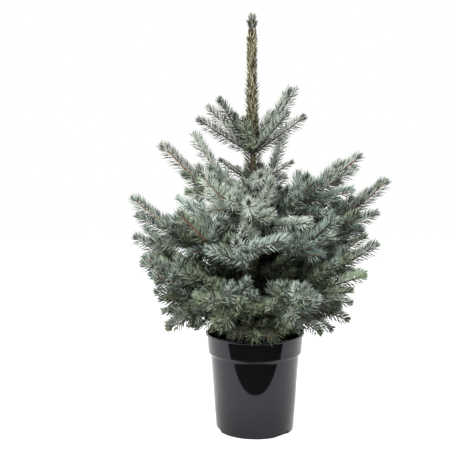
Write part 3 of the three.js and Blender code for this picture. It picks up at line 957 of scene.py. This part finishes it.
def needle_frames(direction, tangent):
    """Frames whose Z runs along each needle and whose X, its bend, leans to the stem and the sky."""
    bend = tangent * 0.8 + UP * 0.45
    bend = unit(bend - (bend * direction).sum(1, keepdims=True) * direction)
    return frames_of(bend, direction)


def needle_arrays(growths, prototype, rng):
    """All needles of some growths as vertices, triangles and colour numbers."""
    palette = list(COLOURS)
    records = [record for growth in growths for record in growth.needles]
    *columns, hues = zip(*records)
    place, direction, tangent, length, width, deep = map(np.concatenate, columns)
    colours = np.repeat([len(TONES) * palette.index(hue) for hue in hues], [*map(len, columns[3])])
    # Each needle takes its colour's deep tone, the painted shade, by its share.
    colours += rng.random(len(colours)) < deep
    frames = needle_frames(direction, tangent)
    arrays = copies(prototype, place, frames, width, length, NEEDLE_BEND)
    return *arrays, np.repeat(colours, len(prototype[1]))


def bud_arrays(growths, prototype):
    records = [record for growth in growths for record in growth.buds]
    place, axis, size = (np.array(values) for values in zip(*records))
    axis = unit(axis)
    across = unit(np.cross(axis, FRONT + 0.3 * UP))
    return copies(prototype, place, frames_of(across, axis), size, size)


def stem_arrays(growths):
    """All stems of some growths as vertices, triangles and wood numbers."""
    points, faces, woods = zip(*(stem for growth in growths for stem in growth.stems))
    offsets = np.cumsum([0, *map(len, points)])
    triangles = [rows + offset for rows, offset in zip(faces, offsets)]
    numbers = np.repeat([WOODS.index(wood) for wood in woods], [*map(len, faces)])
    return np.concatenate(points), np.concatenate(triangles), numbers


def batches(grown, triangles_each):
    """Splits a tier's (node, growth) pairs so that each joined piece stays small enough."""
    batch, load = [], 0
    for node, growth in grown:
        more = sum(len(record[3]) for record in growth.needles) * triangles_each
        if batch and load + more > TRIANGLES_PER_PIECE:
            yield batch
            batch, load = [], 0
        batch.append((node, growth))
        load += more
    yield batch


# ---- trunk ----
def trunk_radius(height):
    share = (height - SOIL_TOP) / (TRUNK_TOP - SOIL_TOP)
    flare = TRUNK_FLARE * math.exp((SOIL_TOP - height) / TRUNK_FLARE_FADE)
    return TRUNK_FOOT_RADIUS + (TRUNK_TIP_RADIUS - TRUNK_FOOT_RADIUS) * share + flare


def make_trunk(materials):
    """The trunk as closed rings with bark relief: low ridges that run up it, and leaf scars."""
    rings = int((TRUNK_TOP - SOIL_TOP) / TRUNK_RING_STEP)
    heights = np.linspace(SOIL_TOP + 0.0004, TRUNK_TOP, rings)
    vertices = []
    for height in heights:
        centre, radius = trunk_axis(height), trunk_radius(height)
        for angle in np.linspace(0, math.tau, TRUNK_SIDES, endpoint=False):
            out, swell = Vector((math.cos(angle), math.sin(angle), 0)), 1
            for around, along, depth in (RIDGES, SCARS):
                relief = noise.noise(Vector((out.x * around, out.y * around, height * along)))
                swell += depth * relief
            vertices.append(centre + np.array(out) * radius * swell)
    vertices = np.array(vertices + [trunk_axis(heights[0]), trunk_axis(heights[-1])])
    triangles = ring_triangles(rings, TRUNK_SIDES)[:, ::-1]
    numbers = vertices[triangles].mean(1)[:, 2] > LEADER_BARK_FROM
    add_piece("trunk_bark", "bark", ["trunk"], materials, vertices, triangles, numbers)


# ---- pot and soil ----
def held(profile):
    """The same profile with a station just inside each end of a long span, so that it shades flat."""
    stations = [profile[0]]
    for (r0, z0), (r1, z1) in zip(profile, profile[1:]):
        span = math.hypot(r1 - r0, z1 - z0)
        if span > LONG_SPAN:
            inset = HOLDING_INSET / span
            for share in (inset, 1 - inset):
                stations.append((r0 + (r1 - r0) * share, z0 + (z1 - z0) * share))
        stations.append((r1, z1))
    return stations


def turned(name, profile, segments):
    """A closed turned shape: a ring drawn up from station to station and shut at both ends."""
    (radius, height), rest = profile[0], profile[1:]
    bpy.ops.mesh.primitive_circle_add(vertices=segments, radius=radius, location=(0, 0, height))
    piece = bpy.context.object
    piece.name = piece.data.name = name
    bpy.ops.object.transform_apply(location=True)
    enter_edit()
    for next_radius, next_height in rest:
        rise, scale = next_height - height, next_radius / radius
        bpy.ops.mesh.extrude_edges_move(TRANSFORM_OT_translate={"value": (0, 0, rise)})
        bpy.ops.transform.resize(value=(scale, scale, 1))
        radius, height = next_radius, next_height
    bpy.ops.mesh.edge_face_add()
    radius, height = profile[0]
    select_vertices(piece, lambda co: abs(co.z - height) < 1e-6 and abs(co.xy.length - radius) < 1e-5)
    bpy.ops.mesh.edge_face_add()
    bpy.ops.mesh.select_all(action="SELECT")
    bpy.ops.mesh.normals_make_consistent(inside=False)
    leave_edit()
    return piece


def pot_profile():
    """(radius, height) from the underside, up the outside, over the lip and down the inside."""
    foot, body, collar = FOOT_RADIUS, BODY_TOP_RADIUS, COLLAR_FOOT_RADIUS
    step_foot, lip_foot = COLLAR_FOOT - COLLAR_STEP, POT_HEIGHT - LIP_HEIGHT
    inside = COLLAR_TOP_RADIUS - WALL
    under_lip = np.interp(lip_foot, (COLLAR_FOOT, POT_HEIGHT), (collar, COLLAR_TOP_RADIUS))
    inner_foot = foot + (body - foot) * FLOOR_THICKNESS / step_foot - WALL
    return [
        (foot - FOOT_ROUNDING, 0), (foot - FOOT_ROUNDING * 0.35, FOOT_ROUNDING * 0.3),
        (foot, FOOT_ROUNDING), (body - 0.0004, step_foot - 0.003),
        (body + 0.0002, step_foot - 0.0005), (collar - 0.0016, COLLAR_FOOT - 0.0014),
        (collar - 0.0003, COLLAR_FOOT), (collar + 0.0001, COLLAR_FOOT + 0.0018),
        (under_lip - 0.0001, lip_foot - LIP_ROUNDING), (under_lip + 0.0007, lip_foot - 0.0004),
        (LIP_RADIUS - 0.0004, lip_foot + 0.0002), (LIP_RADIUS, lip_foot + 0.0009),
        (LIP_RADIUS, POT_HEIGHT - LIP_ROUNDING), (LIP_RADIUS - 0.0005, POT_HEIGHT - 0.0004),
        (LIP_RADIUS - LIP_ROUNDING, POT_HEIGHT), (inside + 0.0014, POT_HEIGHT - 0.0001),
        (inside + 0.0003, POT_HEIGHT - 0.0008), (inside, POT_HEIGHT - 0.0024),
        (collar - WALL, COLLAR_FOOT), (body - WALL, step_foot), (inner_foot, FLOOR_THICKNESS),
    ]


def cut_drains(pot):
    """Three notches with rounded corners through the pot's foot."""
    for bearing in DRAIN_BEARINGS:
        turn = math.radians(bearing)
        bpy.ops.mesh.primitive_cube_add(size=1)
        cutter = bpy.context.object
        cutter.scale = DRAIN_SIZE
        bpy.ops.object.transform_apply(scale=True)
        for edge in cutter.data.edges:
            ends = [cutter.data.vertices[v].co for v in edge.vertices]
            edge.select = abs(ends[0].x - ends[1].x) > 0.001
        bpy.ops.object.mode_set(mode="EDIT")
        bpy.ops.mesh.select_mode(type="EDGE")
        bpy.ops.mesh.bevel(offset=DRAIN_ROUNDING, segments=4)
        leave_edit()
        cutter.location = (FOOT_RADIUS * math.cos(turn), FOOT_RADIUS * math.sin(turn), 0)
        cutter.rotation_euler = (0, 0, turn)
        bpy.ops.object.transform_apply(location=True, rotation=True)
        cut = pot.modifiers.new("drain", "BOOLEAN")
        cut.operation, cut.object = "DIFFERENCE", cutter
        bpy.context.view_layer.objects.active = pot
        bpy.ops.object.modifier_apply(modifier=cut.name)
        bpy.data.objects.remove(cutter)


def make_pot():
    pot = turned("nursery_pot", held(pot_profile()), POT_SEGMENTS)
    cut_drains(pot)
    bpy.ops.object.select_all(action="DESELECT")
    pot.select_set(True)
    bpy.ops.object.shade_smooth_by_angle(angle=SHARP_ANGLE)
    pot.data.materials.append(gloss_plastic())
    link(pot, "pot_plastic", "pot")


def make_soil():
    """The compost: a low dome of crumbly relief, closed down inside the pot."""
    edge = SOIL_EDGE - 0.0008
    rim_height = SOIL_TOP - SOIL_SHOULDER
    profile = [
        (FOOT_RADIUS - WALL - 0.0004, 0.0075), (edge - 0.006, COLLAR_FOOT - COLLAR_STEP),
        (edge, COLLAR_FOOT + 0.0008), (edge, rim_height),
    ]
    for ring in range(1, SOIL_RINGS):
        radius = edge * (1 - ring / SOIL_RINGS)
        rise = smooth_step((edge - radius) / (edge - SOIL_FLAT_RADIUS)) * SOIL_SHOULDER
        profile.append((radius, rim_height + float(rise) - 0.0008))
    soil = turned("compost", profile, SOIL_SEGMENTS)
    for co in (vertex.co for vertex in soil.data.vertices):
        if co.z > rim_height - 0.001 and co.xy.length < edge - 0.002:
            lump = sum(noise.noise(co * scale) * depth for scale, depth in SOIL_LUMPS)
            co.z += min(lump, 0.0008 + 0.4 * lump)
    soil.data.materials.append(compost())
    return link(soil, "compost", "soil")


def make_crumbs(material, rng):
    """Loose crumbs on the compost, each a small uneven lump."""
    bpy.ops.mesh.primitive_ico_sphere_add(subdivisions=1, radius=0.5)
    lump = bpy.context.object
    enter_edit()
    bpy.ops.transform.resize(value=(1.0, 0.72, 0.55))
    leave_edit()
    prototype = arrays_of(lump)
    radius = np.sqrt(rng.uniform(0, 1, CRUMBS)) * (SOIL_EDGE - 0.005)
    bearing = rng.uniform(0, math.tau, CRUMBS)
    rise = smooth_step((SOIL_EDGE - radius) / (COLLAR_FOOT_RADIUS - SOIL_FLAT_RADIUS))
    height = SOIL_TOP - SOIL_SHOULDER * (1 - rise)
    places = np.stack([radius * np.cos(bearing), radius * np.sin(bearing), height], 1)
    first = unit(rng.normal(0, 1, (CRUMBS, 3)))
    second = unit(np.cross(first, rng.normal(0, 1, (CRUMBS, 3))))
    frames = np.stack([first, second, np.cross(first, second)], axis=2)
    sizes = rng.uniform(0.0015, 0.0045, CRUMBS)
    arrays = copies(prototype, places, frames, sizes, sizes)
    add_piece("crumbs", "compost", [], [material], *arrays, smooth=False)


# ---- the plant ----
# What every piece of the plant is made with: a needle's shape, its finishes and the barks.
Kit = namedtuple("Kit", "needle finishes barks")


def needle_finishes():
    """Each colour of the palette in each tone: pale and lit, or deep with painted shade."""
    finishes = []
    for name, colour in COLOURS.items():
        for ending, tone in TONES.items():
            toned = [tone * channel for channel in colour]
            material, *_ = new_material(
                "needle_" + name + ending, toned, roughness=0.45, specular=0.42
            )
            finishes.append(material)
    return finishes


def add_needles(name, growths, kit, rng, nodes=()):
    arrays = needle_arrays(growths, kit.needle, rng)
    slot = SLOTS[name.split("_")[0]]
    add_piece("needles_" + name, slot, nodes, kit.finishes, *arrays, smooth=False)


def add_stems(name, growths, kit, nodes=()):
    add_piece(name, "bark", nodes, [kit.barks[wood] for wood in WOODS], *stem_arrays(growths))


def nodes_called(start):
    return sorted(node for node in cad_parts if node.startswith(start))


def make_tier(number, tier, kit):
    """A tier's needles, in as many pieces as keep each one small, and its wood."""
    grown = []
    for place, node in enumerate(nodes_called(f"foliage_{tier}_")):
        rng = seeded(number, place)
        grown.append((node, grow_bough(node, TIERS[tier], rng)))
    for count, batch in enumerate(batches(grown, len(kit.needle[1])), start=1):
        nodes, growths = zip(*batch)
        add_needles(f"{tier}_{count}", growths, kit, rng, nodes)
    growths = [growth for _, growth in grown]
    add_stems("boughs_" + tier, growths, kit, nodes_called(f"bough_{tier}_"))
    return growths


def make_plant():
    barks = {name: bark(name, *values) for name, values in BARKS.items()}
    kit = Kit(model_needle(), needle_finishes(), barks)
    everything = []
    for number, tier in enumerate(TIERS):
        everything += make_tier(number, tier, kit)
    rng = seeded(CORE_SEED)
    core = grow_core(rng)
    add_needles("core", [core], kit, rng)
    add_stems("shoots_core", [core], kit)
    rng = seeded(LEADER_SEED)
    leader = grow_leader(rng)
    add_needles("leader", [leader], kit, rng, ["leader"])
    make_trunk([barks["trunk_bark"], barks["leader_bark"]])
    arrays = bud_arrays([*everything, core, leader], model_bud())
    add_piece("buds", "bark", [], [barks["bud_scale"]], *arrays)


bpy.context.scene.view_settings.view_transform = "Standard"
add_camera()
light_world()
add_floor()
add_dark_room()
for softbox, values in SOFTBOXES.items():
    add_softbox(softbox, *values)
make_pot()
soil = make_soil()
make_crumbs(soil.data.materials[0], seeded(CRUMB_SEED))
make_plant()

visual_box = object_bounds()
boxes = {"cad": cad_box, "visual": visual_box}
{name: [list(corner) for corner in box] for name, box in boxes.items()}
